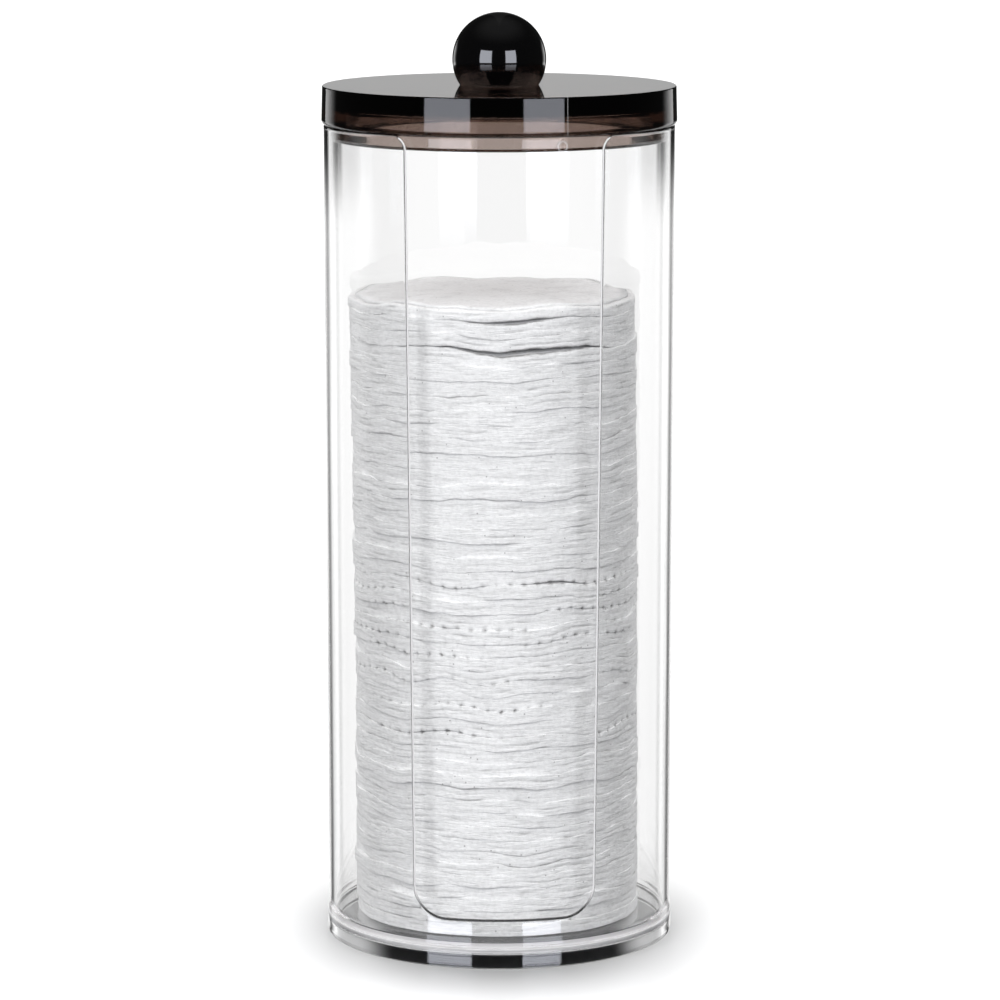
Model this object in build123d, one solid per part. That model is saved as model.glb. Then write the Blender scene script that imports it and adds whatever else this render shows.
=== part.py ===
from build123d import *
import os
from math import cos, pi, sin

# Cotton pad holder: a clear round tube on a clear foot, open at the front through a
# tall slot, with a smoked lid that plugs into the top and a ball knob to lift it by.
# A stack of round cotton pads stands inside.
#
# Millimetres. The origin is the middle of the underside, +Z is up and the slot
# faces -Y. Radii are outside radii unless the name says otherwise.

# ---- across: the tube's lower end sets the width of the foot, the rim and the lid
tube_bottom_radius = 35.4
tube_widening = 0.3         # the tube is moulded, so its radius grows this much to the rim
foot_overhang = 0.3         # the foot's radius is this much more than the tube's lower end
lid_overhang = 0.5          # the lid's radius is this much more than the tube's rim
tube_top_radius = tube_bottom_radius + tube_widening
foot_radius = tube_bottom_radius + foot_overhang
lid_radius = tube_top_radius + lid_overhang

# ---- foot: a shallow upturned dish that closes the bottom of the tube
foot_height = 4.2           # from the table to the ledge that the tube stands on
foot_wall = 1.6
foot_edge_bevel = 0.4
floor_thickness = 1.8
floor_step = 0.9            # how far the floor rises into the tube, to centre it
floor_blend = 0.8           # bevel between the floor's underside and the foot's wall
bond_gap = 0.1              # between the floor's edge and the tube's bore

# ---- tube
tube_length = 163.3
tube_wall = 1.2
flare_height = 2.0          # the rounded shoulder where the tube meets the foot

# ---- slot: cut through the front wall, tapered the same way as the tube
slot_width_top = 38.8
slot_width_bottom = 35.7
slot_sill = 5.9             # from the tube's lower end to the bottom of the slot
slot_corner_round = 6.0
slot_rim_round = 3.0        # where the sides of the slot run out into the rim
slot_rim_past = 0.3         # the same curve carries on this far above the rim

# ---- lid
lid_height = 7.9            # from the tube's rim to the lid's flat top
lid_draft = 0.2             # the lid's radius is this much less at the top
lid_plate = 3.8
lid_lower_bevel = 0.7
lid_top_bevel = 0.3
plug_clearance = 0.3        # between the plug and the tube's bore, all round
plug_depth = 2.9
plug_wall = 2.7
plug_lead_in = 0.4
pocket_blend = 0.8          # bevel between the pocket's wall and its ceiling

# ---- knob: a ball with a flat seat and a short spigot that locates it in the lid
ball_radius = 9.55
ball_rise = 5.2             # from the lid's top to the middle of the ball
spigot_radius = 3.0
spigot_length = 2.2
spigot_clearance = 0.05
socket_floor_gap = 0.1

# ---- pads: pressed thinner towards the bottom by the weight above
pad_count = 46
pad_radius = 29.2
pad_thickness_bottom = 2.5
pad_thickness_top = 3.1
pad_sides = 24              # straight sides enough to look round, few enough to stay light
pad_shuffle = 0.35          # how far each pad lies from the line of the stack
stack_lean = 1.1            # how far the top of the stack has slid towards -X
stack_offset = 0.5          # how far all of it lies towards -X
golden_turn = pi * (3 - 5 ** 0.5)

# ---- heights that follow from the sizes above
tube_end = foot_height
tube_rim = tube_end + tube_length
floor_top = foot_height + floor_step
lid_top = tube_rim + lid_height
ball_middle = lid_top + ball_rise


def turned(profile):
    """Turn a half section, drawn as radius and height, about the vertical axis."""
    return revolve(Plane.XZ * profile, Axis.Z)


def rounded(face, radius, height, size):
    """Round the corner of a half section that lies nearest to a radius and height."""
    corner = face.vertices().sort_by_distance((radius, height, 0))[0]
    return fillet(corner, size)


def bevelled(face, radius, height, size):
    """Cut off the corner of a half section that lies nearest to a radius and height."""
    corner = face.vertices().sort_by_distance((radius, height, 0))[0]
    return chamfer(corner, size)


def bore_radius(height):
    """Inside radius of the tapered tube at a height above the table."""
    share = (height - tube_end) / tube_length
    return tube_bottom_radius + (tube_top_radius - tube_bottom_radius) * share - tube_wall


def make_base():
    """Foot ring, floor and the low step that centres the tube, as one turned dish."""
    wall_inside = foot_radius - foot_wall
    floor_edge = bore_radius(tube_end) - bond_gap
    floor_underside = floor_top - floor_thickness
    section = make_face(Polyline(
        (0, floor_underside), (wall_inside, floor_underside), (wall_inside, 0),
        (foot_radius, 0), (foot_radius, foot_height), (floor_edge, foot_height),
        (floor_edge, floor_top), (0, floor_top), close=True))
    section = bevelled(section, wall_inside, floor_underside, floor_blend)
    section = bevelled(section, foot_radius, 0, foot_edge_bevel)
    return turned(section)


def tube_blank():
    """Tapered open tube whose lower end swells to the foot's radius."""
    bore_bottom = bore_radius(tube_end)
    bore_top = bore_radius(tube_rim)
    flare_top = tube_end + flare_height
    flare_radius = bore_radius(flare_top) + tube_wall
    shoulder = TangentArc((foot_radius, tube_end), (flare_radius, flare_top), tangent=(0, 1))
    walls = Polyline(
        (flare_radius, flare_top), (tube_top_radius, tube_rim), (bore_top, tube_rim),
        (bore_bottom, tube_end), (foot_radius, tube_end))
    return turned(make_face(shoulder + walls))


def slot_cutter():
    """Tapered upright with round lower corners whose sides curve outwards at the rim."""
    sill = tube_end + slot_sill
    half_bottom = slot_width_bottom / 2
    lean = (slot_width_top - slot_width_bottom) / 2 / (tube_rim - sill)
    curve_start = tube_rim - slot_rim_round
    half_start = half_bottom + lean * (curve_start - sill)
    half_end = half_start + slot_rim_round
    curve_end = tube_rim + slot_rim_past
    above = curve_end + slot_rim_round
    curve = TangentArc((half_start, curve_start), (half_end, curve_end), tangent=(lean, 1))
    far_curve = mirror(curve, Plane.YZ)
    outline = make_face(
        Polyline((-half_start, curve_start), (-half_bottom, sill), (half_bottom, sill),
                 (half_start, curve_start)) + curve + far_curve
        + Polyline((half_end, curve_end), (half_end, above), (-half_end, above),
                   (-half_end, curve_end)))
    outline = rounded(outline, -half_bottom, sill, slot_corner_round)
    outline = rounded(outline, half_bottom, sill, slot_corner_round)
    return extrude(Plane.XZ * outline, amount=2 * foot_radius)


def make_tube():
    """The tapered tube with its front slot."""
    return tube_blank() - slot_cutter()


def make_lid():
    """Thick plate with a rim that sits on the tube and a plug that hangs inside it."""
    plug_end = tube_rim - plug_depth
    plug_radius = bore_radius(plug_end) - plug_clearance
    pocket_radius = plug_radius - plug_wall
    ceiling = lid_top - lid_plate
    socket_radius = spigot_radius + spigot_clearance
    socket_floor = lid_top - spigot_length - socket_floor_gap
    top_radius = lid_radius - lid_draft
    section = make_face(Polyline(
        (0, ceiling), (pocket_radius, ceiling), (pocket_radius, plug_end),
        (plug_radius, plug_end), (plug_radius, tube_rim), (lid_radius, tube_rim),
        (top_radius, lid_top), (socket_radius, lid_top), (socket_radius, socket_floor),
        (0, socket_floor), close=True))
    section = bevelled(section, pocket_radius, ceiling, pocket_blend)
    section = bevelled(section, plug_radius, plug_end, plug_lead_in)
    section = bevelled(section, lid_radius, tube_rim, lid_lower_bevel)
    section = bevelled(section, top_radius, lid_top, lid_top_bevel)
    return turned(section)


def make_knob():
    """Ball cut flat where it sits on the lid, with a spigot under the flat."""
    ball = Pos(0, 0, ball_middle) * Sphere(ball_radius)
    keep = Pos(0, 0, lid_top) * Cylinder(
        2 * ball_radius, ball_rise + 2 * ball_radius, align=(Align.CENTER, Align.CENTER, Align.MIN))
    spigot = Pos(0, 0, lid_top) * Cylinder(
        spigot_radius, spigot_length, align=(Align.CENTER, Align.CENTER, Align.MAX))
    return (ball & keep) + spigot


def pad_levels():
    """Heights of every pad's underside, and at the end the top of the stack."""
    levels = [floor_top]
    for number in range(pad_count):
        share = number / (pad_count - 1)
        thickness = pad_thickness_bottom + (pad_thickness_top - pad_thickness_bottom) * share
        levels.append(levels[-1] + thickness)
    return levels


def make_pad(number, underside, top):
    """One flat round pad, set a little off the line of the stack, which leans to the left."""
    turn = number * golden_turn
    share = number / (pad_count - 1)
    across = -stack_offset - stack_lean * share ** 3 + pad_shuffle * cos(turn)
    along = pad_shuffle * sin(turn)
    outline = Pos(across, along, underside) * RegularPolygon(pad_radius, pad_sides)
    return extrude(outline, amount=top - underside)


pieces = {
    "clear_tube": make_tube(),
    "base": make_base(),
    "lid": make_lid(),
    "knob": make_knob(),
}
levels = pad_levels()
for number in range(pad_count):
    pieces[f"pad_{number + 1:02d}"] = make_pad(number, levels[number], levels[number + 1])

os.makedirs("parts", exist_ok=True)
for name, piece in pieces.items():
    piece.label = name
    export_step(piece, f"parts/{name}.step")

print(f"height {ball_middle + ball_radius:.2f} mm, across {2 * lid_radius:.2f} mm")
print(f"pads stand from {levels[0]:.2f} to {levels[-1]:.2f} mm")
print(f"the lid's plug ends at {tube_rim - plug_depth:.2f} mm")
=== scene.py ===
# %% [markdown]
# # A clear holder for cotton pads
# The object is a clear round tube on a clear foot. A smoked lid with a black ball knob closes
# it, a tall slot opens its front, and a stack of cotton pads stands inside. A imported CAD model
# is loaded first and says where each part is. This script dresses its solids: it makes the
# skins, the plastics, the cotton and the room that they are seen in.

# %% Load the frame
import math
import bpy
import numpy as np
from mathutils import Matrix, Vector


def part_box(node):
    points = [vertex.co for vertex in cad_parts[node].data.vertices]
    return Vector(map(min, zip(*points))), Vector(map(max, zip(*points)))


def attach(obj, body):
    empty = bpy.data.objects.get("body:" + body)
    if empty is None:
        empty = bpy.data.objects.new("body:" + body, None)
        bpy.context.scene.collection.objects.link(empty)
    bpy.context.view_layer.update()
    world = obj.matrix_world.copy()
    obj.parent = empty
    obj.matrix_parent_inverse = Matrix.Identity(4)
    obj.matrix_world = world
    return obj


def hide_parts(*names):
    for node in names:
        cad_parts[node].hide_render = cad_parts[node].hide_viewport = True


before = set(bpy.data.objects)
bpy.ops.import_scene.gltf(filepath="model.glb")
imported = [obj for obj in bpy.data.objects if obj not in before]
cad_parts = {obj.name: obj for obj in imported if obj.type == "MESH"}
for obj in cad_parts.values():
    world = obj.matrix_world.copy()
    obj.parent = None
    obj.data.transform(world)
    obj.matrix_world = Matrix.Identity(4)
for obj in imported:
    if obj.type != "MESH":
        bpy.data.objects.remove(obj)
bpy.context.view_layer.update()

MM = 0.001

# %% [markdown]
# ## The camera
# A product photo like this one is taken with a long lens from well back, so that the tube's
# sides stay almost parallel. The distance, height and tilt below put the rim, the foot and the
# slot's corners where such a lens sees them. The camera stands a little to the left of the
# slot, so VIEW_SIDE turns it about the tube, and VIEW_TURN is how far it looks past the axis.

# %% Camera
VIEW_DISTANCE = 937.0 * MM
VIEW_HEIGHT = 243.7 * MM
VIEW_TILT = math.radians(9.314)
VIEW_SIDE = math.radians(1.95)
VIEW_TURN = math.radians(0.0087)

camera_data = bpy.data.cameras.new("camera")
camera_data.lens = 166.03
camera_data.sensor_width = 36.0
camera_data.clip_start = 0.05
camera_data.clip_end = 50.0
camera = bpy.data.objects.new("camera", camera_data)
camera.location = (-VIEW_DISTANCE * math.sin(VIEW_SIDE), -VIEW_DISTANCE * math.cos(VIEW_SIDE),
                   VIEW_HEIGHT)
camera.rotation_euler = (math.pi / 2 - VIEW_TILT, 0, -VIEW_SIDE - VIEW_TURN)
bpy.context.scene.collection.objects.link(camera)
bpy.context.scene.camera = camera
print("camera at", tuple(round(c, 3) for c in camera.location))

# %% [markdown]
# ## Shader maths as Python expressions
# A pattern in a material is arithmetic on values that change over the surface. Wiring Math
# nodes by hand hides the formula, so a small class wraps an output socket and turns `+`, `-`,
# `*` and `/` into the nodes. One method adds every other kind of node.

# %% Node helpers
class Value:
    """An output socket that can be used in arithmetic."""

    def __init__(self, recipe, socket):
        self.recipe = recipe
        self.socket = socket

    def math(self, operation, *terms):
        return self.recipe.node("ShaderNodeMath", {"operation": operation}, [self, *terms])

    def __add__(self, other):
        return self.math("ADD", other)

    def __sub__(self, other):
        return self.math("SUBTRACT", other)

    def __rsub__(self, other):
        return self.recipe.node("ShaderNodeMath", {"operation": "SUBTRACT"}, [other, self])

    def __mul__(self, other):
        return self.math("MULTIPLY", other)

    def __truediv__(self, other):
        return self.math("DIVIDE", other)

    def __pow__(self, other):
        return self.math("POWER", other)

    __radd__ = __add__
    __rmul__ = __mul__

    def step(self, low, high, start=0.0, end=1.0):
        """Smooth change from start to end while this value goes from low to high."""
        return self.recipe.node("ShaderNodeMapRange", {"interpolation_type": "SMOOTHSTEP"},
                                [self, low, high, start, end])

    def window(self, low, high, soft):
        """1 between low and high, 0 outside, with soft borders."""
        return self.step(low - soft, low + soft) * self.step(high - soft, high + soft, 1.0, 0.0)


class Recipe:
    """The node tree of one finish."""

    def __init__(self, tree):
        self.tree = tree
        tree.nodes.clear()

    def node(self, kind, settings=None, sockets=None, out=0):
        """Add a node: its settings first, then the values or links of its sockets."""
        made = self.tree.nodes.new(kind)
        for name, setting in (settings or {}).items():
            setattr(made, name, setting)
        pairs = enumerate(sockets) if isinstance(sockets, list) else (sockets or {}).items()
        for name, content in pairs:
            if isinstance(content, Value):
                self.tree.links.new(content.socket, made.inputs[name])
            else:
                made.inputs[name].default_value = content
        return Value(self, made.outputs[out]) if len(made.outputs) else made

    def mix(self, share, first, second):
        """Blend of two colours."""
        return self.node("ShaderNodeMix", {"data_type": "RGBA"}, {0: share, 6: first, 7: second}, 2)

    def noise(self, place, scale, detail=3.0, roughness=0.5):
        return self.node("ShaderNodeTexNoise", {}, {"Vector": place, "Scale": scale,
                                                    "Detail": detail, "Roughness": roughness})

    def bump(self, height, strength, distance):
        return self.node("ShaderNodeBump", {}, {"Height": height, "Strength": strength,
                                                "Distance": distance})


def new_finish(name):
    """Material with an empty node tree."""
    material = bpy.data.materials.new(name)
    material.use_nodes = True
    return material, Recipe(material.node_tree)


# %% [markdown]
# ## The studio
# Clear plastic shows almost nothing of itself. It shows the room: two soft boxes in front give
# the broad pale bars on the lid and the foot, the white wall behind lights it from the back,
# and black cards beside that wall draw the dark lines along the tube's edges. Below the wall
# comes the far end of the table, pale where it is lit and dark in the shade of the cards.
# Real walls and lamps would need many samples, so the room is painted by direction in the world
# shader. It is free of noise and easy to aim. Each pair of angles below is a soft border: the
# first is where a part of the room begins to change and the second is where it has changed.

# %% Sizes of the studio
def degrees(*angles):
    """Angles in degrees as radians."""
    return [math.radians(angle) for angle in angles]


WALL_HALF, CARD_END, EDGE_SOFT = degrees(8.0, 27.0, 0.6)
SIDE_FADE = degrees(31.0, 50.0)
LEFT_BOX = degrees(-50.9, -20.6)
RIGHT_BOX = degrees(13.6, 40.1)
BOX_RISE = degrees(-5.6, 23.0)
BOX_MIRROR = degrees(-17.0, -12.6)
HORIZON = degrees(-3.0, 3.0)
WALL_TOP = degrees(8.0, 18.0)
TABLE_EDGE = degrees(-6.0, -4.8)
TABLE_DEPTH = degrees(-14.0, -5.5)
TABLE_FADE = degrees(14.5, 20.5)
TABLE_RISE = degrees(23.0, 31.0)
ROOM_START = degrees(58.0, 70.0)
CEILING = degrees(35.0, 75.0)
BEYOND_TOP, WHITE_TOP = (0.05, 0.2), (0.2, 0.4)  # radians, as are the next two
BENT_REACH, MIRROR_REACH = (1.2, 1.6), (0.65, 0.85)
BOTH_WALLS = (3.2, 3.8)
WALL_HIGH, BEYOND_LIGHT, WHITE_LIGHT, CEILING_LIGHT = 0.56, 1.1, 0.85, 0.07
TABLE_NEAR, TABLE_FAR, TABLE_SIDE = 0.08, 0.38, 0.95
BOX_LIGHT = 3.6
BOX_COLOUR = (0.93, 0.96, 1.06, 1.0)
DARK_FRONT = 0.02

# %% Directions and kinds of ray
world = bpy.data.worlds.new("studio")
world.use_nodes = True
bpy.context.scene.world = world
room = Recipe(world.node_tree)
east = room.node("ShaderNodeSeparateXYZ", {}, [room.node("ShaderNodeTexCoord", out="Generated")])
north, up = (Value(room, east.socket.node.outputs[axis]) for axis in (1, 2))
from_back = (east.math("ARCTAN2", north) - VIEW_SIDE).math("ABSOLUTE")
from_front = east.math("ARCTAN2", north * -1.0)
height = up.math("ARCSINE")

seen_ray = room.node("ShaderNodeLightPath", out="Is Camera Ray")
soft_ray, bent_ray, bounces = (
    Value(room, seen_ray.socket.node.outputs[name])
    for name in ("Is Diffuse Ray", "Is Transmission Ray", "Transmission Depth"))
print("directions and rays ready")

# %% [markdown]
# The back of the room is what shows through the tube: wall, cards, a faint light beyond them,
# and the table. Rays that have been bent by the plastic see more of the table than mirrored
# ones do. Rays that have crossed both walls of the tube and leave sideways would end in the
# black front of the room, so they find a white one, and the tube stays clear from every side.

# %% Back of the room
wall = from_back.step(WALL_HALF - EDGE_SOFT, WALL_HALF + EDGE_SOFT, 1.0, 0.0) \
    * height.step(*HORIZON, 1.0, WALL_HIGH) * height.step(*WALL_TOP, 1.0, 0.05)
beyond_cards = from_back.step(CARD_END - EDGE_SOFT, CARD_END + EDGE_SOFT) \
    * from_back.step(*SIDE_FADE, BEYOND_LIGHT, 0.0) * height.step(*BEYOND_TOP, 1.0, 0.0)
table_part = height.step(*TABLE_EDGE, 1.0, 0.0)
table_reach = (bent_ray * from_back.step(*BENT_REACH, 1.0, 0.0)).math(
    "MAXIMUM", from_back.step(*MIRROR_REACH, 1.0, 0.0))
table_shade = height.step(*TABLE_DEPTH, TABLE_NEAR, TABLE_FAR)
far_table = (from_back.step(*TABLE_FADE, 1.0, 0.0).math("MAXIMUM", table_shade)
             + from_back.step(*TABLE_RISE, 0.0, TABLE_SIDE)) * table_reach
backdrop = (wall + beyond_cards) * (1.0 - table_part) + far_table * table_part
white_room = bent_ray * bounces.step(*BOTH_WALLS) * from_back.step(*ROOM_START) \
    * height.step(*WHITE_TOP, 1.0, 0.0) * WHITE_LIGHT
seen_sharp = backdrop + height.step(*CEILING) * CEILING_LIGHT + DARK_FRONT + white_room
print("back of the room:", len(room.tree.nodes), "nodes")

# %% [markdown]
# The two soft boxes stand in front, each with its mirror image in the table just below it. Only
# sharp rays see them. The fill is for soft light on the pads: it is strongest from above,
# weaker from the front than from the back, and weakest from below. The camera sees plain white.

# %% Soft boxes, fill light and output
boxes = (from_front.window(*LEFT_BOX, EDGE_SOFT) + from_front.window(*RIGHT_BOX, EDGE_SOFT)) \
    * (height.window(*BOX_RISE, EDGE_SOFT) + height.window(*BOX_MIRROR, EDGE_SOFT))
fill = height.step(-0.1, 0.1, 0.3, 1.0) * north.step(-0.6, 0.6, 0.39, 0.9) \
    + height.step(0.4, 1.0) * 0.85
sharp_ray = (1.0 - seen_ray) * (1.0 - soft_ray)
plain_light = room.node("ShaderNodeBackground", {}, {
    "Color": (1.0, 1.0, 1.0, 1.0),
    "Strength": seen_ray + soft_ray * fill + sharp_ray * seen_sharp})
box_light = room.node("ShaderNodeBackground", {}, {
    "Color": BOX_COLOUR, "Strength": sharp_ray * boxes * BOX_LIGHT})
room.node("ShaderNodeOutputWorld", {}, {
    "Surface": room.node("ShaderNodeAddShader", {}, [plain_light, box_light])})
bpy.context.scene.view_settings.view_transform = "Standard"
print("world nodes:", len(room.tree.nodes))

# %% [markdown]
# ## The floor and the front lights
# The holder stands on a pale, slightly glossy table. The floor is a flat disc, kept out of the
# reflections and refractions, because there the soft boxes reach below table height. The soft
# shade round the foot is painted on it: see-through plastic casts none of its own here. A
# small dark disc under the foot is painted shade: it stands in for the shade that the closed
# foot keeps there. It is painted dark in the middle and paler at its sides, where light leaks
# in round the ring.

# %% Mesh helpers
def add_piece(name, points, faces, material, smooth=True):
    """Mesh object from an array of points and arrays of faces, at the origin."""
    mesh = bpy.data.meshes.new(name)
    mesh.from_pydata(points.tolist(), [], [f for block in faces for f in block.tolist()])
    mesh.validate()
    mesh.polygons.foreach_set("use_smooth", np.full(len(mesh.polygons), smooth))
    mesh.materials.append(material)
    piece = bpy.data.objects.new(name, mesh)
    bpy.context.scene.collection.objects.link(piece)
    return piece


def ring_faces(index, closed=True):
    """Quads between neighbouring rows and columns of an index grid; columns wrap if closed."""
    right = np.roll(index, -1, axis=1)
    if not closed:
        index, right = index[:, :-1], right[:, :-1]
    return np.stack([index[:-1], right[:-1], right[1:], index[1:]], axis=-1).reshape(-1, 4)


def around(radius, angle, level):
    """Points at a radius and angle about the tube's axis; angle 0 faces the slot, at -Y."""
    return np.stack(np.broadcast_arrays(radius * np.sin(angle), -radius * np.cos(angle), level),
                    axis=-1)


def capped(name, rings, low_pole, high_pole, material):
    """Closed skin over stacked rings, shut by a fan at each end; rings is rows x columns x 3."""
    rows, columns = rings.shape[:2]
    index = np.arange(rows * columns).reshape(rows, columns)
    low, high = rows * columns, rows * columns + 1
    first, last = index[0], index[-1]
    low_fan = np.stack([np.full(columns, low), np.roll(first, -1), first], axis=-1)
    high_fan = np.stack([np.full(columns, high), last, np.roll(last, -1)], axis=-1)
    points = np.concatenate([rings.reshape(-1, 3), [low_pole, high_pole]])
    return add_piece(name, points, [ring_faces(index), low_fan, high_fan], material)


# %% Floor
FLOOR_RADIUS = 6.0
FLOOR_DROP = 0.05 * MM
FLOOR_COLOUR = (0.97, 0.97, 0.97, 1.0)
BLACK = (0.0, 0.0, 0.0, 1.0)
SHADE_SQUEEZE = (1.5, 1.0, 1.0)
SHADE_REACH = (26.0 * MM, 82.0 * MM)
SHADE_DEPTH = 0.66

floor_finish, table = new_finish("pale_table")
spot = table.node("ShaderNodeTexCoord", out="Object")
grain = table.noise(spot, 60.0)
nearness = table.node("ShaderNodeVectorMath", {"operation": "LENGTH"}, [
    table.node("ShaderNodeVectorMath", {"operation": "MULTIPLY"}, [spot, SHADE_SQUEEZE])], 1)
contact = nearness.step(*SHADE_REACH, SHADE_DEPTH, 0.0)
# The floor glows: less inside the painted shade round the foot and more with the distance from it,
# so that it turns plain white away from the holder.
glow = (1.0 - contact) * 0.19 + nearness.step(0.08, 0.4) * 0.25
table.node("ShaderNodeOutputMaterial", {}, {"Surface": table.node(
    "ShaderNodeBsdfPrincipled", {}, {"Base Color": table.mix(contact, FLOOR_COLOUR, BLACK),
                                     "Roughness": 0.22 + 0.05 * grain, "Specular IOR Level": 0.3,
                                     "Emission Color": glow, "Emission Strength": 1.0})})
turn = np.linspace(0, 2 * np.pi, 96, endpoint=False)


def flat_disc(name, radius, level, material):
    """Flat round disc facing up."""
    rim = around(radius, turn, level)
    fan = np.arange(len(turn))
    points = np.concatenate([rim, [(0, 0, level)]])
    faces = np.stack([fan, np.roll(fan, -1), np.full(len(turn), len(turn))], axis=-1)
    return add_piece(name, points, [faces], material, smooth=False)


floor = flat_disc("floor", FLOOR_RADIUS, -FLOOR_DROP, floor_finish)
floor.visible_glossy = False
floor.visible_transmission = False
floor.visible_diffuse = False

# %% Painted shade disc
SHADE_DISC_RADIUS = 34.0 * MM
SHADE_DISC_SIDES = (22.0 * MM, 29.0 * MM)
SHADE_DISC_DARK, SHADE_DISC_PALE = (0.01, 0.01, 0.01, 1.0), (0.7, 0.7, 0.7, 1.0)
shade_disc_finish, shade_disc_nodes = new_finish("painted_shade_disc")
spot = shade_disc_nodes.node("ShaderNodeTexCoord", out="Object")
sideways = shade_disc_nodes.node("ShaderNodeSeparateXYZ", {}, [spot]).math("ABSOLUTE")
# Painted shade: black in the middle, painted paler towards the sides where light leaks in round the
# ring.
shade_disc_nodes.node("ShaderNodeOutputMaterial", {}, {"Surface": shade_disc_nodes.node(
    "ShaderNodeBsdfPrincipled", {}, {
        "Base Color": shade_disc_nodes.mix(sideways.step(*SHADE_DISC_SIDES), SHADE_DISC_DARK, SHADE_DISC_PALE),
        "Roughness": 0.6 + 0.1 * shade_disc_nodes.noise(spot, 400.0)})})
painted_shade_disc = flat_disc("painted_shade_disc", SHADE_DISC_RADIUS, -FLOOR_DROP / 2, shade_disc_finish)
print("floor and mat made")

# %% Front lights
def soft_box(name, angle, distance, level, size, power):
    """Area light that faces the middle of the tube from an angle right of the slot."""
    data = bpy.data.lights.new(name, "AREA")
    data.shape = "RECTANGLE"
    data.size, data.size_y = size
    data.energy = power
    lamp = bpy.data.objects.new(name, data)
    place = Vector((distance * math.sin(angle), -distance * math.cos(angle), level))
    lamp.location = place
    lamp.rotation_euler = (Vector((0, 0, 0.09)) - place).to_track_quat("-Z", "Y").to_euler()
    lamp.visible_camera = False
    lamp.visible_glossy = False
    lamp.visible_transmission = False
    bpy.context.scene.collection.objects.link(lamp)


BOX_SIZE = (0.4, 0.6)
BOX_DISTANCE, BOX_LEVEL = 0.85, 0.45
soft_box("left_box", math.radians(-36.0), BOX_DISTANCE, BOX_LEVEL, BOX_SIZE, 2.85)
soft_box("right_box", math.radians(27.0), BOX_DISTANCE, BOX_LEVEL, BOX_SIZE, 1.3)
print("front lights made")

# %% [markdown]
# ## Clear plastic
# The tube and the foot are moulded in clear styrene. In Blender that is the Principled shader
# with full transmission and the plastic's own refractive index. Light for the pads would have
# to find its way through two curved walls, which renders slowly and speckled, so for lamps and
# for light scattered by the pads the wall counts as a faintly grey see-through film instead.
# Where the plastic is scuffed, glued or cut it isn't clear, so a finish can have a stain: a
# function of the place that says how much of a dull, opaque plastic is mixed in there. The same
# share also paints light and shade, as on the slot's cut edge.

# %% See-through plastics
PLASTIC_INDEX = 1.57
# Colour of milky plastic, also used as the pale colour of the painted highlight on the slot's cut
# edge.
MILKY_AND_PAINTED_HIGHLIGHT = (0.93, 0.92, 0.92, 1.0)


def see_through(name, film, wipe, matt=0.0, stain_and_painted_light=None, tone=None):
    """See-through plastic. film is what soft light keeps at each surface it crosses, wipe is
    the roughness of its faint wipe marks and matt that of the rest. stain gives the share of
    dull plastic at a place, and tone its colour, which is milky unless it is given."""
    material, nodes = new_finish(name)
    spot = nodes.node("ShaderNodeTexCoord", out="Object")
    haze = nodes.noise(spot, 35.0, 4.0).step(0.62, 0.8, matt, matt + wipe)
    ripple = nodes.noise(spot, 22.0, 1.0)
    plastic = nodes.node("ShaderNodeBsdfPrincipled", {}, {
        "Base Color": (1.0, 1.0, 1.0, 1.0), "Roughness": haze, "IOR": PLASTIC_INDEX,
        "Transmission Weight": 1.0, "Normal": nodes.bump(ripple, 0.12, 0.0006)})
    if stain_and_painted_light:
        dull = nodes.node("ShaderNodeBsdfPrincipled", {}, {
            "Base Color": tone(nodes, spot) if tone else MILKY_AND_PAINTED_HIGHLIGHT,
            "Roughness": 0.5 + 0.1 * ripple})
        plastic = nodes.node("ShaderNodeMixShader", {}, [stain_and_painted_light(nodes, spot), plastic, dull])
    shade_ray = nodes.node("ShaderNodeLightPath", out="Is Shadow Ray")
    scattered_ray = Value(nodes, shade_ray.socket.node.outputs["Is Diffuse Ray"])
    open_film = nodes.node("ShaderNodeBsdfTransparent", {}, {"Color": (film, film, film, 1.0)})
    mixed = nodes.node("ShaderNodeMixShader", {}, [
        shade_ray.math("MAXIMUM", scattered_ray), plastic, open_film])
    output = nodes.node("ShaderNodeOutputMaterial", {}, {"Surface": mixed})
    return material, nodes, output


clear_plastic = see_through("clear_plastic", 0.95, 0.03)[0]
print("clear plastic made")

# %% Places in a material
def from_axis_node(nodes, spot):
    """Distance of a place from the tube's axis."""
    flat = nodes.node("ShaderNodeVectorMath", {"operation": "MULTIPLY"}, [spot, (1.0, 1.0, 0.0)])
    return nodes.node("ShaderNodeVectorMath", {"operation": "LENGTH"}, [flat], 1)


def level_node(nodes, spot):
    """Height of a place."""
    return Value(nodes, nodes.node("ShaderNodeSeparateXYZ", {}, [spot]).socket.node.outputs[2])


# %% [markdown]
# The slot's cut edge is a little matt. Where its outer round catches the light, a painted highlight
# draws a pale line down each side, and where the sill lies in the shade of the wall, painted shade
# draws a dark one.

# %% Cut edge
# The sill's dark colour is painted shade; the pale colour of the sides' outer round is a painted
# highlight.
SILL_PAINTED_SHADE = (0.012, 0.012, 0.012, 1.0)
SIDE_START = (11.0 * MM, 16.0 * MM)
OUTER_ROUND = (34.9 * MM, 35.15 * MM)


def above_sill(nodes, spot):
    """0 at the slot's sill, 1 from where its sides begin."""
    return level_node(nodes, spot).step(*SIDE_START)


def cut_painted_light_share(nodes, spot):
    """Painted highlight on the outer round of the slot's long sides, painted shade over all the
    sill.
    """
    outer = from_axis_node(nodes, spot).step(*OUTER_ROUND, 0.22, 1.0)
    side = above_sill(nodes, spot)
    return outer * side + (1.0 - side) * 0.85


def cut_painted_light_tone(nodes, spot):
    """Painted shade on the sill is dark, the painted highlight on the sides is pale."""
    return nodes.mix(above_sill(nodes, spot), SILL_PAINTED_SHADE, MILKY_AND_PAINTED_HIGHLIGHT)


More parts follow.
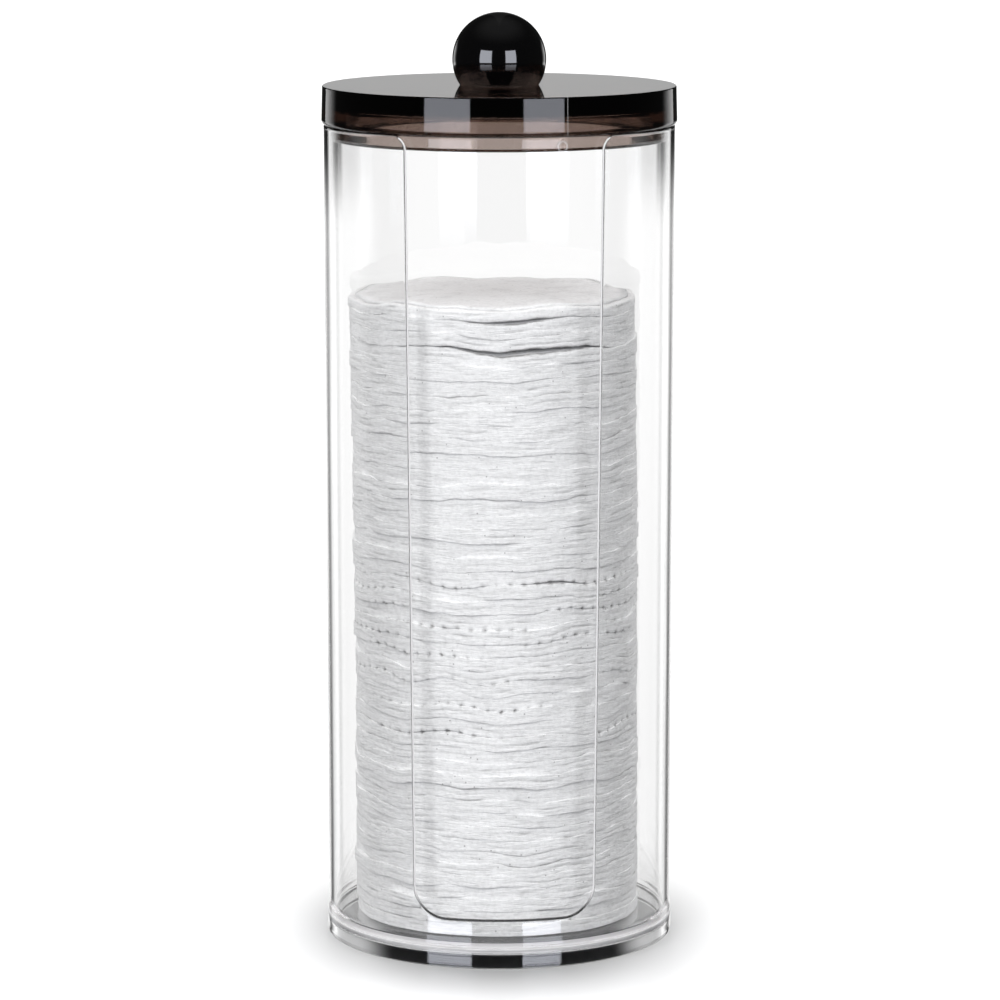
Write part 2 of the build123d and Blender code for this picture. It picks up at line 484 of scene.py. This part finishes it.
cut_edge = see_through("cut_edge", 0.2, 0.05, 0.12, cut_painted_light_share, cut_painted_light_tone)[0]
print("cut edge made")

# %% [markdown]
# The tube is welded to the foot. The solvent leaves both faces of the joint white and cloudy,
# and it shows through the clear shoulder as a bright band right round the holder.

# %% Weld
WELD_GREY, WELD_WHITE = (0.86, 0.84, 0.84, 1.0), (0.97, 0.96, 0.96, 1.0)
weld_finish, weld = new_finish("weld")
spot = weld.node("ShaderNodeTexCoord", out="Object")
weld.node("ShaderNodeOutputMaterial", {}, {"Surface": weld.node("ShaderNodeBsdfPrincipled", {}, {
    "Base Color": weld.mix(weld.noise(spot, 150.0), WELD_GREY, WELD_WHITE),
    "Roughness": 0.7, "IOR": 1.2, "Transmission Weight": 0.4})})
print("weld made")

# %% Finish of some faces
def face_middles(piece):
    """Middles of a piece's faces, and their distances from the axis."""
    middle = np.empty(3 * len(piece.data.polygons))
    piece.data.polygons.foreach_get("center", middle)
    middle = middle.reshape(-1, 3)
    return middle, np.hypot(middle[:, 0], middle[:, 1])


def refinish(piece, material, picked):
    """Give another finish to the picked faces."""
    index = np.empty(len(picked), np.int32)
    piece.data.polygons.foreach_get("material_index", index)
    piece.data.materials.append(material)
    index[picked] = len(piece.data.materials) - 1
    piece.data.polygons.foreach_set("material_index", index)
    print(piece.name, "has", picked.sum(), "faces of", material.name)


# %% [markdown]
# ## The tube
# The wall is one skin, 1.2 mm thick, with a slot whose lower corners are round and whose sides
# run out into the rim. A Boolean cut would leave long thin faces that spoil the reflections.
# Instead the skin is a grid that follows the slot: full rings below the sill, rows that stop at
# the slot's sides above it, and a last band that follows the edge and rounds it over. The
# faces of that band and those inside the joint are picked by place and get their own finish.

# %% Sizes of the tube
tube_low, tube_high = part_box("clear_tube")
JOINT_GAP = 0.04 * MM
tube_end = tube_low.z + JOINT_GAP
tube_rim = tube_high.z - JOINT_GAP
foot_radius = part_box("base")[1].x
floor_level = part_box("base")[1].z
TUBE_WALL = 1.2 * MM
BOTTOM_RADIUS = 35.4 * MM
TOP_RADIUS = 35.7 * MM
SHOULDER_HEIGHT = 2.0 * MM
EDGE_ROUND = 0.3 * MM
SLOT_SILL = tube_low.z + 5.9 * MM
SLOT_HALF_BOTTOM = 35.7 * MM / 2
SLOT_HALF_TOP = 38.8 * MM / 2
SLOT_CORNER = 6.0 * MM
RUN_OUT_RISE = 3.0 * MM
RUN_OUT_RADIUS = 3.315 * MM
CORNER_POINTS, LINE_POINTS, CURL_POINTS = 13, 17, 9


def wall_radius(level):
    """Outside radius of the tapered wall: it grows evenly with height, and a shallow arc
    swells it to the foot's radius over the last two millimetres."""
    share = (level - tube_low.z) / (tube_high.z - tube_low.z)
    plain = BOTTOM_RADIUS + (TOP_RADIUS - BOTTOM_RADIUS) * share
    swell = foot_radius - BOTTOM_RADIUS
    above = np.clip((level - tube_low.z) / SHOULDER_HEIGHT, 0.0, 1.0)
    return plain + swell * (1 - above ** 2)


def bore(level):
    """Inside radius: the plain taper less the wall."""
    share = (level - tube_low.z) / (tube_high.z - tube_low.z)
    return BOTTOM_RADIUS + (TOP_RADIUS - BOTTOM_RADIUS) * share - TUBE_WALL


def slot_side(margin):
    """Half width and height of the slot's side, from sill to rim, moved out by a margin:
    a quarter circle, a leaning line and a quarter circle that turns outwards."""
    curl_start = tube_high.z - RUN_OUT_RISE
    lean = (SLOT_HALF_TOP - SLOT_HALF_BOTTOM) / (tube_rim - SLOT_SILL)
    quarter = np.linspace(0, np.pi / 2, CORNER_POINTS)
    turn_radius = SLOT_CORNER + margin
    corner_level = SLOT_SILL + SLOT_CORNER - turn_radius * np.cos(quarter)
    corner_half = SLOT_HALF_BOTTOM - SLOT_CORNER + turn_radius * np.sin(quarter)
    line_level = np.linspace(SLOT_SILL + SLOT_CORNER, curl_start, LINE_POINTS + 1)[1:]
    line_half = np.full(LINE_POINTS, SLOT_HALF_BOTTOM + margin)
    low_level = np.concatenate([corner_level, line_level])
    low_half = np.concatenate([corner_half, line_half]) \
        + lean * np.clip(low_level - SLOT_SILL, 0.0, None)
    curl_radius = RUN_OUT_RADIUS - margin
    end = math.asin(min((tube_rim - margin - curl_start) / curl_radius, 1.0))
    curl = np.linspace(0, end, CURL_POINTS + 1)[1:]
    curl_half = SLOT_HALF_BOTTOM + lean * (curl_start - SLOT_SILL) + RUN_OUT_RADIUS \
        - curl_radius * np.cos(curl)
    return (np.concatenate([low_half, curl_half]),
            np.concatenate([low_level, curl_start + curl_radius * np.sin(curl)]))


bends = [0, CORNER_POINTS - 1, CORNER_POINTS + LINE_POINTS - 1, -1]
print("slot half widths, mm:", (slot_side(0.0)[0][bends] / MM).round(2))

# %% Rows and loops of the tube
BACK_COLUMNS, SILL_COLUMNS = 288, 40
BAND_END = 0.7 * MM
band = EDGE_ROUND * (1 - np.cos(np.linspace(0, np.pi / 2, 6)))
band = np.append(band, BAND_END)


def edge_drop(margin):
    """How far a rounded edge has fallen away at a distance from the cut: a quarter circle."""
    inside = np.clip(EDGE_ROUND - margin, 0.0, None)
    return EDGE_ROUND - np.sqrt(EDGE_ROUND ** 2 - inside ** 2)


def tube_skin(radius_at, sign):
    """Points of one side of the wall: lower rows, upper rows, and loops round the slot."""
    back = np.linspace(0, 1, BACK_COLUMNS + 1)
    sill = np.linspace(-1, 1, SILL_COLUMNS + 1)[1:-1]

    def loop(margin):
        half, level = slot_side(margin)
        radius = radius_at(level) - sign * edge_drop(margin)
        angle = np.arcsin(half / radius)
        rim_angle = angle[-1] + (2 * np.pi - 2 * angle[-1]) * back
        rim_points = around(radius[-1], rim_angle, level[-1])
        down = around(radius, -angle, level)[-2:0:-1]
        sill_angle = angle[0] * np.concatenate([[-1.0], sill, [1.0]])
        sill_points = around(radius[0], sill_angle, level[0])
        rise = around(radius, angle, level)[1:-1]
        return np.concatenate([rim_points, down, sill_points, rise])

    loops = np.stack([loop(margin) for margin in band[::-1]])
    half, level = slot_side(BAND_END)
    angle = np.arcsin(half / radius_at(level))
    upper_angle = angle[:, None] + (2 * np.pi - 2 * angle[:, None]) * back
    upper = around(radius_at(level)[:, None], upper_angle, level[:, None])
    sill_angle = angle[0] * sill
    ring_angle = np.concatenate([upper_angle[0], 2 * np.pi + sill_angle])
    low_levels = tube_end + np.concatenate([
        band, [floor_level - tube_end], np.linspace(1.1 * MM, SHOULDER_HEIGHT, 6)])
    low_levels = np.concatenate([low_levels, np.linspace(low_levels[-1], level[0], 5)[1:]])
    drop = np.concatenate([edge_drop(band), np.zeros(len(low_levels) - len(band))])
    low_radius = radius_at(low_levels) - sign * drop
    lower = around(low_radius[:, None], ring_angle, low_levels[:, None])
    return lower, upper, loops


def tube_faces(lower, upper, loops, start):
    """Index grids and faces of one side; the three blocks share their border points."""
    rows, columns = lower.shape[:2]
    low_index = start + np.arange(rows * columns).reshape(rows, columns)
    start = start + rows * columns
    up_index = np.empty(upper.shape[:2], int)
    up_index[0] = low_index[-1, :BACK_COLUMNS + 1]
    free = (upper.shape[0] - 1) * upper.shape[1]
    up_index[1:] = start + np.arange(free).reshape(-1, upper.shape[1])
    start = start + free
    sill_index = np.append(low_index[-1, BACK_COLUMNS:], low_index[-1, 0])
    border = np.concatenate([up_index[-1], up_index[-2:0:-1, -1], sill_index,
                             up_index[1:-1, 0]])
    loop_index = np.empty(loops.shape[:2], int)
    loop_index[0] = border
    free = (loops.shape[0] - 1) * loops.shape[1]
    loop_index[1:] = start + np.arange(free).reshape(-1, loops.shape[1])
    points = np.concatenate([lower.reshape(-1, 3), upper[1:].reshape(-1, 3),
                             loops[1:].reshape(-1, 3)])
    faces = [ring_faces(low_index), ring_faces(up_index, closed=False), ring_faces(loop_index)]
    return points, faces, low_index[0], loop_index[-1]


# %% Tube
outer_points, outer_faces, outer_foot, outer_edge = tube_faces(*tube_skin(wall_radius, 1), 0)
inner_points, inner_faces, inner_foot, inner_edge = tube_faces(
    *tube_skin(bore, -1), len(outer_points))
bridges = [ring_faces(np.stack([outer_edge, inner_edge])),
           ring_faces(np.stack([inner_foot, outer_foot]))]
clear_tube = add_piece("tube", np.concatenate([outer_points, inner_points]),
                       outer_faces + [f[:, ::-1] for f in inner_faces] + bridges, clear_plastic)
middle, from_axis = face_middles(clear_tube)
refinish(clear_tube, weld_finish,
         (from_axis < BOTTOM_RADIUS - 0.1 * MM) & (middle[:, 2] < floor_level))
cut_half, cut_level = slot_side(EDGE_ROUND + 0.01 * MM)
refinish(clear_tube, cut_edge,
         (middle[:, 1] < 0) & (middle[:, 2] > cut_level[0]) & (middle[:, 2] < tube_rim - 0.4 * MM)
         & (abs(middle[:, 0]) < np.interp(middle[:, 2], cut_level, cut_half)))
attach(clear_tube, "holder")
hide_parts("clear_tube")
print("tube:", len(clear_tube.data.vertices), "points")

# %% [markdown]
# ## Turned parts
# The foot, the lid and the knob are round, so each is a half section carried round the axis.
# Real mouldings have no sharp edges, and it is the small rounds that catch the light. The
# section is given by its corners and how much each is rounded.

# %% Section helper
def rounded_section(corners, steps=7):
    """Outline through corners (radius, height, rounding) in mm, in metres. A corner is swapped
    for an arc that touches both its sides: the arc starts rounding * tan(half the turn)
    before the corner and turns evenly. The first and last corner are on the axis."""
    plain = np.array([c[:2] for c in corners]) * MM
    outline = [plain[:1]]
    for before, corner, after, (_, _, rounding) in zip(plain, plain[1:], plain[2:], corners[1:-1]):
        u = (corner - before) / np.linalg.norm(corner - before)
        v = (after - corner) / np.linalg.norm(after - corner)
        bend = math.atan2(u[0] * v[1] - u[1] * v[0], u @ v)
        start = corner - u * rounding * MM * math.tan(abs(bend) / 2)
        side = np.array([u[1], -u[0]]) * math.copysign(rounding * MM, bend)
        swing = np.linspace(0, bend, steps)
        arm = np.stack([side[0] * np.cos(swing) - side[1] * np.sin(swing),
                        side[0] * np.sin(swing) + side[1] * np.cos(swing)], axis=-1)
        outline.append(start - side + arm)
    return np.concatenate(outline + [plain[-1:]])


def support(outline, reach=0.4 * MM):
    """Add a point near each end of every long straight run, so that smooth shading of the
    rounds doesn't spread over the flats."""
    step = np.diff(outline, axis=0)
    length = np.linalg.norm(step, axis=1)
    share = np.where(length > 4 * reach, reach / np.maximum(length, 1e-9), np.nan)
    near, far = outline[:-1] + step * share[:, None], outline[1:] - step * share[:, None]
    woven = np.stack([outline[:-1], near, far], axis=1).reshape(-1, 2)
    woven = np.concatenate([woven, outline[-1:]])
    return woven[~np.isnan(woven[:, 0])]


def turned(name, outline, material, columns=256):
    """Skin of a half section carried round the axis; its ends are the poles."""
    angle = np.linspace(0, 2 * np.pi, columns, endpoint=False)
    rings = around(outline[1:-1, :1], angle, outline[1:-1, 1:])
    return capped(name, rings, (0, 0, outline[0, 1]), (0, 0, outline[-1, 1]), material)


# %% [markdown]
# ## The foot
# A shallow upturned dish: a ring that stands on the table, the floor that carries the pads, and
# a low step that centres the tube. Its floor is thin, so the foot's ring shows the painted shade
# disc beneath it as a dark band with the soft boxes in it. The ring's outside is pale just below
# the joint, a share of milky plastic that fades with the distance from the joint.

# %% Foot
foot_top = tube_low.z / MM
floor_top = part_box("base")[1].z / MM
FLOOR_THICKNESS = 1.8
ring_outside = foot_radius / MM
ring_inside = ring_outside - 1.6
foot_outline = support(rounded_section([
    (0, floor_top - FLOOR_THICKNESS, 0), (ring_inside, floor_top - FLOOR_THICKNESS, 0.8),
    (ring_inside, 0, 0.25), (ring_outside, 0, 0.45), (ring_outside, foot_top, 0.15),
    (ring_inside, foot_top, 0.05), (ring_inside, floor_top, 0.1), (0, floor_top, 0)]))


def pale_fade_below_joint(nodes, spot):
    """Share of milky plastic on the outside wall: it fades downwards from the joint over 1.5 mm."""
    radius = from_axis_node(nodes, spot)
    share = ((level_node(nodes, spot) - (foot_top - 1.55) * MM) / (1.4 * MM)).math("MAXIMUM", 0.0)
    uneven = nodes.noise(spot, 180.0).step(0.2, 0.8, 0.8, 1.1)
    outside = radius.step((ring_inside + 0.5) * MM, (ring_inside + 0.9) * MM)
    return share.math("MINIMUM", 1.0) ** 1.5 * 0.75 * uneven * outside


clear_base_plastic = see_through("clear_base_plastic", 0.95, 0.03, stain_and_painted_light=pale_fade_below_joint)[0]
foot = turned("foot", foot_outline, clear_base_plastic)
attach(foot, "holder")
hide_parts("base")
print("foot:", len(foot.data.vertices), "points")

# %% [markdown]
# ## The smoked lid
# The lid is tinted through, so it is darkest where the plastic is thick: nearly black through
# the plate, brown-grey through the rim and paler still through the plug that hangs in the tube.
# Colour on the surface couldn't do that. A Volume Absorption inside the skin does, because it
# takes away light by the length of plastic that the light goes through. Soft light meets a
# darker film here than in the tube, so the lid shades the pads. Two marks of moulding show: a
# line where the streams of plastic met, and the ring left by the gate that they came in by.

# %% Smoked plastic
TINT_PER_MM = np.array([0.36, 0.434, 0.474])
DENSITY = 600.0
FLOW_LINE = math.radians(19.9)
GATE_MARK = (11.35 * MM, -32.2 * MM, 165.6 * MM)


def mould_marks(nodes, spot):
    """The thin pale line in the rim and the small ring beside it, as shares of dull plastic."""
    parts = nodes.node("ShaderNodeSeparateXYZ", {}, [spot]).socket.node.outputs
    angle = Value(nodes, parts[0]).math("ARCTAN2", Value(nodes, parts[1]) * -1.0)
    line = angle.window(FLOW_LINE - 0.0025, FLOW_LINE + 0.0025, 0.0012)
    line = line * from_axis_node(nodes, spot).step(35.0 * MM, 35.4 * MM) * 0.22
    reach = nodes.node("ShaderNodeVectorMath", {"operation": "DISTANCE"}, [spot, GATE_MARK], 1)
    return line + reach.window(0.8 * MM, 1.15 * MM, 0.08 * MM) * 0.35


smoked_plastic, smoke, smoked_output = see_through(
    "smoked_plastic", 0.8, 0.02, stain_and_painted_light=mould_marks)
tint = 1 - TINT_PER_MM / MM / DENSITY
smoke.tree.links.new(smoke.node("ShaderNodeVolumeAbsorption", {}, {
    "Color": (*tint, 1.0), "Density": DENSITY}).socket, smoked_output.inputs["Volume"])
print("smoked plastic keeps per mm:", np.exp(-TINT_PER_MM).round(2))

# %% Lid
lid_low, lid_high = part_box("lid")
lid_radius = lid_high.x / MM
lid_top = lid_high.z / MM
plug_end = lid_low.z / MM
lid_rest = tube_high.z / MM + JOINT_GAP / MM
PLATE = 3.8
PLUG_RADIUS = 34.19
PLUG_WALL = 2.7
SOCKET_RADIUS = 3.05
SOCKET_DEPTH = 2.3
lid_outline = support(rounded_section([
    (0, lid_top - PLATE, 0), (PLUG_RADIUS - PLUG_WALL, lid_top - PLATE, 0.8),
    (PLUG_RADIUS - PLUG_WALL, plug_end, 0.5), (PLUG_RADIUS, plug_end, 0.4),
    (PLUG_RADIUS, lid_rest, 0.15), (lid_radius, lid_rest, 0.9),
    (lid_radius - 0.2, lid_top, 0.25), (SOCKET_RADIUS, lid_top, 0.04),
    (SOCKET_RADIUS, lid_top - SOCKET_DEPTH, 0.1), (0, lid_top - SOCKET_DEPTH, 0)]))
lid = turned("smoked_lid", lid_outline, smoked_plastic)
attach(lid, "lid")
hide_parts("lid")
print("lid:", len(lid.data.vertices), "points")

# %% [markdown]
# ## The ball knob
# A ball of glossy black plastic that sits on a flat seat. Its waist is only the ball's mirror
# image in the shiny lid. The section is an arc and a flat, with the spigot that holds it.

# %% Knob
black_plastic, black = new_finish("black_gloss_plastic")
spot = black.node("ShaderNodeTexCoord", out="Object")
black.node("ShaderNodeOutputMaterial", {}, {"Surface": black.node(
    "ShaderNodeBsdfPrincipled", {}, {
        "Base Color": (0.0012, 0.0012, 0.0014, 1.0), "IOR": 1.9,
        "Roughness": black.noise(spot, 120.0).step(0.4, 0.8, 0.03, 0.08),
        "Normal": black.bump(black.noise(spot, 90.0, 1.0), 0.1, 0.0003)})})

knob_low, knob_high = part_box("knob")
BALL_RADIUS = 9.55 * MM
ball_middle = knob_high.z - BALL_RADIUS
SEAT_GAP = 0.02 * MM
SPIGOT_RADIUS = 3.0 * MM
seat = lid_high.z + SEAT_GAP
lowest = math.asin((seat - ball_middle) / BALL_RADIUS)
sweep = np.linspace(lowest, np.pi / 2, 48)
ball = np.stack([BALL_RADIUS * np.cos(sweep), ball_middle + BALL_RADIUS * np.sin(sweep)], axis=-1)
ball[-1, 0] = 0.0
spigot = rounded_section([(0, knob_low.z / MM, 0), (SPIGOT_RADIUS / MM, knob_low.z / MM, 0.3),
                          (SPIGOT_RADIUS / MM, seat / MM, 0.1), (ball[0, 0] / MM, seat / MM, 0)])
knob = turned("ball_knob", np.concatenate([support(spigot)[:-1], ball]), black_plastic)
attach(knob, "lid")
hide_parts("knob")
print("knob:", len(knob.data.vertices), "points")

# %% [markdown]
# ## The cotton pads
# Each pad is a disc of cotton wool, two to three millimetres thick, pressed by the pads above.
# Its wool lies in level layers, so the finish is noise that is stretched sideways: long soft
# layers, shorter dashes between them, fine fibres, round lint and a few dark specks of seed.
# The creases are deeper than any noise and get painted grey shade, and the shape knows where they
# are. So each pad carries a number at every point, named crease, and the finish reads it as an
# attribute to paint that shade.

# %% Cotton
CREASE_PAINTED_SHADE = (0.27, 0.265, 0.26, 1.0)
LAYER_GREY = (0.62, 0.615, 0.61, 1.0)
SEED_BROWN = (0.28, 0.27, 0.26, 1.0)
COTTON_WHITES = (0.93, 0.93, 0.925, 1.0), (0.985, 0.985, 0.98, 1.0)
cotton, fluff = new_finish("cotton")
spot = fluff.node("ShaderNodeTexCoord", out="Object")


def strands(across, up, detail=3.0):
    """Noise that lies in level layers, with the given waves to the metre across and up."""
    return fluff.noise(fluff.node("ShaderNodeMapping", {}, {
        "Vector": spot, "Scale": (across, across, up)}), 1.0, detail, 0.6)


layers = strands(140.0, 1500.0)
dashes = strands(330.0, 1400.0, 2.0)
fibres = strands(900.0, 3600.0)
lint = fluff.noise(spot, 1300.0, 2.0)
cloud = fluff.noise(spot, 130.0, 3.0)
speck = fluff.node("ShaderNodeTexVoronoi", {}, {"Vector": spot, "Scale": 430.0}).step(
    0.045, 0.095, 1.0, 0.0)
crease = fluff.node("ShaderNodeAttribute", {"attribute_name": "crease"}, out="Fac")

grey = layers.step(0.50, 0.32) * 0.26 + dashes.step(0.42, 0.30) * 0.26 + lint.step(0.42, 0.62) * 0.2
wool = fluff.mix(grey, fluff.mix(cloud.step(0.3, 0.7), *COTTON_WHITES), LAYER_GREY)
# Painted shade in the creases: the wool turns dark grey in dashes where the crease share is high.
wool_with_crease_shade = fluff.mix((crease * dashes.step(0.65, 0.35, 0.5, 1.3)).math("MINIMUM", 1.0),
                         wool, CREASE_PAINTED_SHADE)
fluff.node("ShaderNodeOutputMaterial", {}, {"Surface": fluff.node(
    "ShaderNodeBsdfPrincipled", {}, {
        "Base Color": fluff.mix(speck * 0.65, wool_with_crease_shade, SEED_BROWN),
        "Roughness": 0.85 + 0.12 * fibres, "Sheen Weight": 0.25, "Sheen Roughness": 0.6,
        "Specular IOR Level": 0.15,
        "Normal": fluff.bump(0.5 * layers + 0.35 * dashes + 0.3 * fibres, 0.5, 0.0008)})})
print("cotton nodes:", len(fluff.tree.nodes))

# %% [markdown]
# ## The seams
# No two pads lie the same, but neighbours follow each other's waves. So the seams between them
# are computed first, as wavy sheets, and each pad fills the space between two of them. That
# keeps the pads clear of each other by construction, which a cloth simulation wouldn't promise.
# The stack's own lean comes from the CAD solids, with their small offsets eased.

# %% Places of the pads
PAD_NAMES = sorted(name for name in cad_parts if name.startswith("pad_"))
PAD_COUNT = len(PAD_NAMES)
PAD_COLUMNS = 400
PAD_RADIUS = 29.2 * MM
OWN_SHARE, REACH = 0.3, 4
pad_boxes = [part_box(name) for name in PAD_NAMES]
seam_levels = np.array([low.z for low, high in pad_boxes] + [pad_boxes[-1][1].z])
pad_middles = np.array([(low + high)[:2] for low, high in pad_boxes]) / 2
window = np.ones(2 * REACH + 1) / (2 * REACH + 1)
eased = np.stack([np.convolve(np.pad(line, REACH, "edge"), window, "valid")
                  for line in pad_middles.T], axis=-1)
pad_middles = OWN_SHARE * pad_middles + (1 - OWN_SHARE) * eased
pad_angle = np.pi + np.linspace(0, 2 * np.pi, PAD_COLUMNS, endpoint=False)
rng = np.random.default_rng(7)
print("pads:", PAD_COUNT, "from", round(seam_levels[0] / MM, 2), "mm up")


def wander(count, steps, reach):
    """Smooth random walk that ends where it began: random values at a few steps, joined by
    cosine easing."""
    knots = rng.normal(0, reach, steps)
    place = np.linspace(0, steps, count, endpoint=False)
    low = place.astype(int)
    ease = (1 - np.cos(np.pi * (place - low))) / 2
    return knots[low] * (1 - ease) + knots[(low + 1) % steps] * ease


# %% Seams
SEAM_COUNT = PAD_COUNT + 1
wave_size = 0.36 * MM * np.clip(np.arange(SEAM_COUNT) / 6, 0, 1)


def wave_sum(orders, sizes, phase_steps, phase_reach):
    """Sum of ripples round the pads, size * cos(order * angle + phase), where size and phase
    wander from seam to seam. sizes gives an order's size; it draws before the phase does."""
    return sum(sizes(order)[:, None] * np.cos(
        order * pad_angle + wander(SEAM_COUNT, phase_steps, phase_reach)[:, None])
        for order in orders)


waves = wave_sum(range(1, 15), lambda order: wave_size * (
    wander(SEAM_COUNT, 14, 1.0) / order ** 0.35), 9, 1.3)
waves = waves + wave_sum(rng.integers(9, 44, 12), lambda order: 0.07 * wave_size * (
    wander(SEAM_COUNT, 24, 1.0)), 20, 2.0)
groove = np.stack([
    0.02 * MM + 0.16 * MM * rng.uniform(0.2, 1.0)
    * np.clip(0.25 + wander(PAD_COLUMNS, 64, 0.8) + wander(PAD_COLUMNS, 15, 0.6), 0, 2)
    for _ in range(SEAM_COUNT)])
print("seams:", waves.shape, "waves to", (abs(waves).max() / MM).round(2), "mm")

# %% [markdown]
# A few seams gape where a pad has been lifted. Some pads were crimped along their edge when
# they were made, and the tool's teeth have left a dotted line of dents in the middle seams.

# %% Open and crimped seams
OPEN_SEAMS = {45: (8, 16, 0.6), 43: (12, 28, 0.9), 27: (24, 14, 0.3), 16: (-22, 26, 0.12)}
CRIMPED_SEAMS = (16, 18, 20, 22, 23, 24, 25, 26, 27)
CRIMP_PITCH, CRIMP_DEPTH = 2.8 * MM, 0.55 * MM
seam_gap = np.full((SEAM_COUNT, PAD_COLUMNS), 0.03 * MM)
for seam, (facing, spread, opening) in OPEN_SEAMS.items():
    away = (np.degrees(pad_angle) - facing + 180) % 360 - 180
    open_part = opening * MM * np.exp(-(away / spread) ** 2)
    seam_gap[seam] += open_part
    groove[seam] += open_part
crimps_round = round(2 * math.pi * PAD_RADIUS / CRIMP_PITCH)
dents = np.zeros((SEAM_COUNT, PAD_COLUMNS))
for seam in CRIMPED_SEAMS:
    dots = (0.5 + 0.5 * np.cos(crimps_round * pad_angle + rng.uniform(0, 6.3))) ** 8
    dents[seam] = CRIMP_DEPTH * dots * np.clip(0.45 + wander(PAD_COLUMNS, 14, 0.6), 0, 1)
print("crimps round a pad:", crimps_round)

# %% [markdown]
# ## One pad
# A pad is a stack of rings: four on its underside, fifteen up its rim and four on its top. The
# rim's rings crowd towards both seams, because that is where the wool turns in. The top pad
# has nothing on it, so its edge sinks and slopes away.

# %% Rings of a pad
rim_up = np.array([0, 0.03, 0.07, 0.13, 0.21, 0.31, 0.41, 0.5, 0.59, 0.69, 0.79, 0.87, 0.93,
                   0.97, 1])
face_share = np.array([0.35, 0.7, 0.88, 0.96])
FACE_RINGS, RIM_RINGS = len(face_share), len(rim_up)
on_rim = np.concatenate([np.zeros(FACE_RINGS), np.ones(RIM_RINGS), np.zeros(FACE_RINGS)])[:, None]
ring_share = np.concatenate([face_share, np.ones(RIM_RINGS), face_share[::-1]])[:, None]
ring_up = np.concatenate([np.zeros(FACE_RINGS), rim_up, np.ones(FACE_RINGS)])[:, None]
GROOVE_FADE, CRIMP_FADE = 0.14 * MM, 0.3 * MM
FACE_INSET = 0.3 * MM
TOP_SLOPE, TOP_SINK = 1.8 * MM, 1.1 * MM
print("rings of a pad:", len(ring_up))


def tufts(count):
    """Relief of the rim: random ripples along it whose phase slips quickly from ring to ring,
    so that they read as short strands that lie along the rim."""
    order = rng.integers(24, 170, count)[:, None, None]
    phase = rng.uniform(0, 2 * np.pi, (count, 1, 1)) + rng.uniform(-9, 9, (count, 1, 1)) * ring_up
    return (np.cos(order * pad_angle + phase) / order ** 0.2).sum(axis=0) / np.sqrt(count)


# %% Pads
def make_pad(number):
    """One pad between two seams. The rim falls back towards each seam by the depth of the
    groove there times exp(-distance / 0.14 mm), and by the crimps there times
    exp(-distance / 0.3 mm). A fainter crease halves the rim. The attribute named crease is
    the sum of the three, each as a share of its usual depth."""
    is_top = number == PAD_COUNT - 1
    low = seam_levels[number] + waves[number] + seam_gap[number] / 2
    high = seam_levels[number + 1] + waves[number + 1] - seam_gap[number + 1] / 2
    outline = PAD_RADIUS + rng.normal(0, 0.07 * MM) + 0.14 * MM * wander(PAD_COLUMNS, 34, 1.0)
    thick = high - low
    above, below = ring_up * thick, (1 - ring_up) * thick
    grooves = groove[number] * np.exp(-above / GROOVE_FADE) \
        + groove[number + 1] * np.exp(-below / GROOVE_FADE)
    crimps = dents[number] * np.exp(-above / CRIMP_FADE) \
        + dents[number + 1] * np.exp(-below / CRIMP_FADE)
    falls = 0.6 * grooves + crimps + (TOP_SLOPE * ring_up ** 5 if is_top else 0.0)
    middle_up = 0.5 + 0.06 * wander(PAD_COLUMNS, 20, 1.0)
    half_crease = 0.09 * MM * np.exp(-((ring_up - middle_up) / 0.06) ** 2)
    half_crease = half_crease * np.clip(0.5 + wander(PAD_COLUMNS, 40, 0.7), 0, 1.5)
    radius = (outline - falls - half_crease + 0.07 * MM * tufts(60)) * on_rim \
        + (outline * ring_share - FACE_INSET) * (1 - on_rim)
    across, along = pad_middles[number]
    level = low * (1 - ring_up) + high * ring_up
    centre = level.mean(axis=1, keepdims=True)
    level = centre + (level - centre) * ring_share ** 2
    if is_top:
        level = level - TOP_SINK * (ring_up * ring_share) ** 5
    rings = around(radius, pad_angle, level) + np.array([across, along, 0.0])
    pad = capped(PAD_NAMES[number] + "_cotton", rings,
                 (across, along, centre[0, 0]), (across, along, centre[-1, 0]), cotton)
    creased = (grooves / (0.45 * MM) + crimps / (0.42 * MM) + half_crease / (0.30 * MM)) * on_rim
    store = pad.data.attributes.new("crease", "FLOAT", "POINT").data
    store.foreach_set("value", np.append(np.clip(creased, 0, 1).ravel(), [0, 0]))
    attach(pad, "pad_stack")
    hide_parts(PAD_NAMES[number])
    return pad


pads = [make_pad(number) for number in range(PAD_COUNT)]
print("pads:", len(pads), "with", sum(len(p.data.polygons) for p in pads), "faces")
